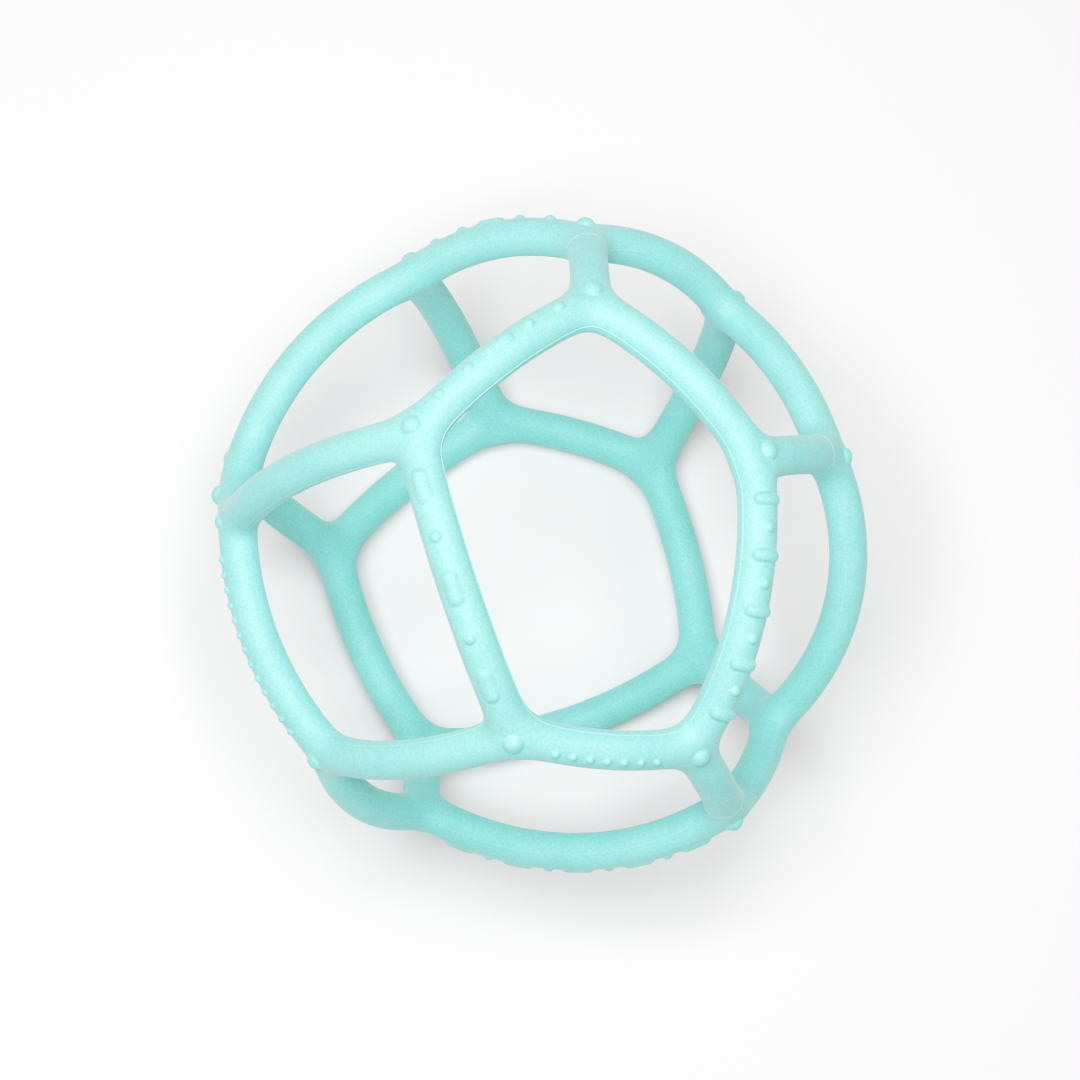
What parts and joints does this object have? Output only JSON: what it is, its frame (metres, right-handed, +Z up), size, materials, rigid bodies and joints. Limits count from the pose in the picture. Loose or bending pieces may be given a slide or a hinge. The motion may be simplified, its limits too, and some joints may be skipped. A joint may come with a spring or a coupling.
{
  "type": "teething ball",
  "caption": "Soft silicone teething ball: an open cage of round curved bars meeting at three-way joints, with raised studs, dots, dashes and ridges on the outside.",
  "frame": {"origin": "middle of the footprint, on the surface that the ball rests on", "axes": "+Z up out of the surface; +X along the longest side of the bounding box; +Y away from the front"},
  "size_m": [0.105, 0.1036, 0.092],
  "materials": {
    "silicone": "matte soft-touch food-grade silicone, mint green, fine grain"
  },
  "bodies": {
    "root": {"base_bar_1": "silicone", "base_bar_2": "silicone", "base_bar_3": "silicone", "base_bar_4": "silicone", "base_bar_5": "silicone", "base_joint_1": "silicone", "base_joint_2": "silicone", "base_joint_3": "silicone", "base_joint_4": "silicone", "base_joint_5": "silicone", "lower_spoke_1": "silicone", "lower_spoke_2": "silicone", "lower_spoke_3": "silicone", "lower_spoke_4": "silicone", "lower_spoke_5": "silicone", "top_bar_1": "silicone", "top_bar_2": "silicone", "top_bar_3": "silicone", "top_bar_4": "silicone", "top_bar_5": "silicone", "top_joint_1": "silicone", "top_joint_2": "silicone", "top_joint_3": "silicone", "top_joint_4": "silicone", "top_joint_5": "silicone", "upper_spoke_1": "silicone", "upper_spoke_2": "silicone", "upper_spoke_3": "silicone", "upper_spoke_4": "silicone", "upper_spoke_5": "silicone", "waist_bar_1": "silicone", "waist_bar_10": "silicone", "waist_bar_2": "silicone", "waist_bar_3": "silicone", "waist_bar_4": "silicone", "waist_bar_5": "silicone", "waist_bar_6": "silicone", "waist_bar_7": "silicone", "waist_bar_8": "silicone", "waist_bar_9": "silicone", "waist_joint_1": "silicone", "waist_joint_10": "silicone", "waist_joint_2": "silicone", "waist_joint_3": "silicone", "waist_joint_4": "silicone", "waist_joint_5": "silicone", "waist_joint_6": "silicone", "waist_joint_7": "silicone", "waist_joint_8": "silicone", "waist_joint_9": "silicone"}
  },
  "joints": []
}
